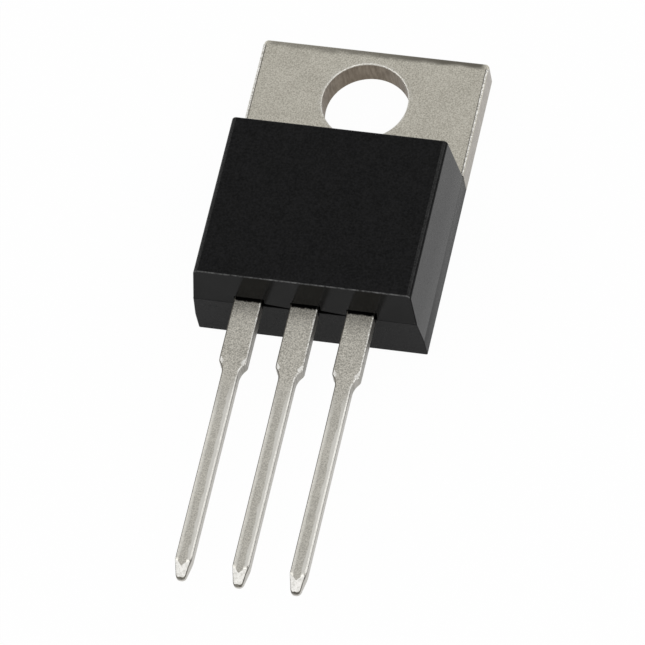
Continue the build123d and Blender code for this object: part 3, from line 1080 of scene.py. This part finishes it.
floorValues = {
    "radius": 0.9,
    "height": -0.00001,
    "white": (0.88, 0.88, 0.88),
    "glowSeen": 0.97,
    "glowReflected": 0.5,
}


def seenDirectly(tree):  # 1 for what is looked at, with the light path's node
    path = tree.nodes.new("ShaderNodeLightPath")
    seen = calculate(tree, "MAXIMUM", path.outputs["Is Camera Ray"], path.outputs["Is Transmission Ray"])
    return seen, path


def makeFloor(values):
    bpy.ops.object.select_all(action="DESELECT")
    radius, middle = values["radius"], (0, 0, values["height"])
    bpy.ops.mesh.primitive_circle_add(vertices=96, radius=radius, fill_type="NGON", location=middle)
    floor = bpy.context.object
    floor.name = "floor"
    material, tree, _, shader = startMaterial("floorWhite")
    seen, path = seenDirectly(tree)
    direct = calculate(tree, "MULTIPLY", seen, values["glowSeen"])
    reflected = calculate(tree, "MULTIPLY", path.outputs["Is Glossy Ray"], values["glowReflected"])
    glow = tree.nodes.new("ShaderNodeEmission")
    mix = tree.nodes.new("ShaderNodeMixShader")
    tree.links.new(calculate(tree, "MAXIMUM", direct, reflected), mix.inputs[0])
    tree.links.new(shader.outputs[0], mix.inputs[1])
    tree.links.new(glow.outputs[0], mix.inputs[2])
    tree.links.new(mix.outputs[0], tree.nodes["Material Output"].inputs["Surface"])
    shader.inputs["Base Color"].default_value = (*values["white"], 1)
    shader.inputs["Roughness"].default_value = 1.0
    shader.inputs["Specular IOR Level"].default_value = 0.0
    floor.data.materials.append(material)


makeFloor(floorValues)

worldValues = {
    "lighting": 0.52,
    "seen": 0.99,
}


def makeWorld(values):
    world = bpy.data.worlds.new("studio")
    bpy.context.scene.world = world
    world.use_nodes = True
    tree = world.node_tree
    background = tree.nodes["Background"]
    background.inputs["Color"].default_value = (1, 1, 1, 1)
    seen, _ = seenDirectly(tree)
    strength = spread(tree, seen, values["lighting"], values["seen"], 0.0, 1.0)
    tree.links.new(strength, background.inputs["Strength"])


makeWorld(worldValues)

lightValues = {
    "topPanel": {"place": (0.02, -0.15, 0.48), "size": (0.3, 0.3), "power": 0.4},
    "rightPanel": {"place": (0.33, -0.25, 0.30), "size": (0.45, 0.45), "power": 0.6},
    "leftPanel": {"place": (-0.40, -0.18, 0.23), "size": (0.45, 0.45), "power": 0.6},
    "rightBackPanel": {"place": (0.40, 0.24, 0.27), "size": (0.25, 0.25), "power": 0.25},
    "leftBackPanel": {"place": (-0.40, 0.22, 0.27), "size": (0.25, 0.25), "power": 0.08},
}


def softLight(name, values):
    data = bpy.data.lights.new(name, "AREA")
    data.shape = "RECTANGLE"
    data.size, data.size_y = values["size"]
    data.energy = values["power"]
    light = bpy.data.objects.new(name, data)
    bpy.context.scene.collection.objects.link(light)
    light.location = values["place"]
    light.rotation_euler = (-Vector(values["place"])).to_track_quat("-Z", "Y").to_euler()


for name, values in lightValues.items():
    softLight(name, values)

cameraValues = {
    "aim": (0.894, -12.388, 2.7),
    "azimuth": 23.855,
    "elevation": 58.256,
    "distance": 308.59,
    "roll": 13.723,
    "lens": 394.13,
}


def placeCamera(values):
    azimuth, elevation = math.radians(values["azimuth"]), math.radians(values["elevation"])
    level = math.cos(elevation)
    back = Vector((math.sin(azimuth) * level, -math.cos(azimuth) * level, math.sin(elevation)))
    data = bpy.data.cameras.new("camera")
    data.lens = values["lens"]
    data.sensor_width = 36
    data.clip_start = 0.01
    camera = bpy.data.objects.new("camera", data)
    bpy.context.scene.collection.objects.link(camera)
    camera.location = (Vector(values["aim"]) + back * values["distance"]) / 1000
    roll = Matrix.Rotation(math.radians(-values["roll"]), 3, "Z").to_quaternion()
    camera.rotation_euler = ((-back).to_track_quat("-Z", "Y") @ roll).to_euler()
    bpy.context.scene.camera = camera


placeCamera(cameraValues)
bpy.context.scene.view_settings.view_transform = "Standard"
print("triac: stage set")
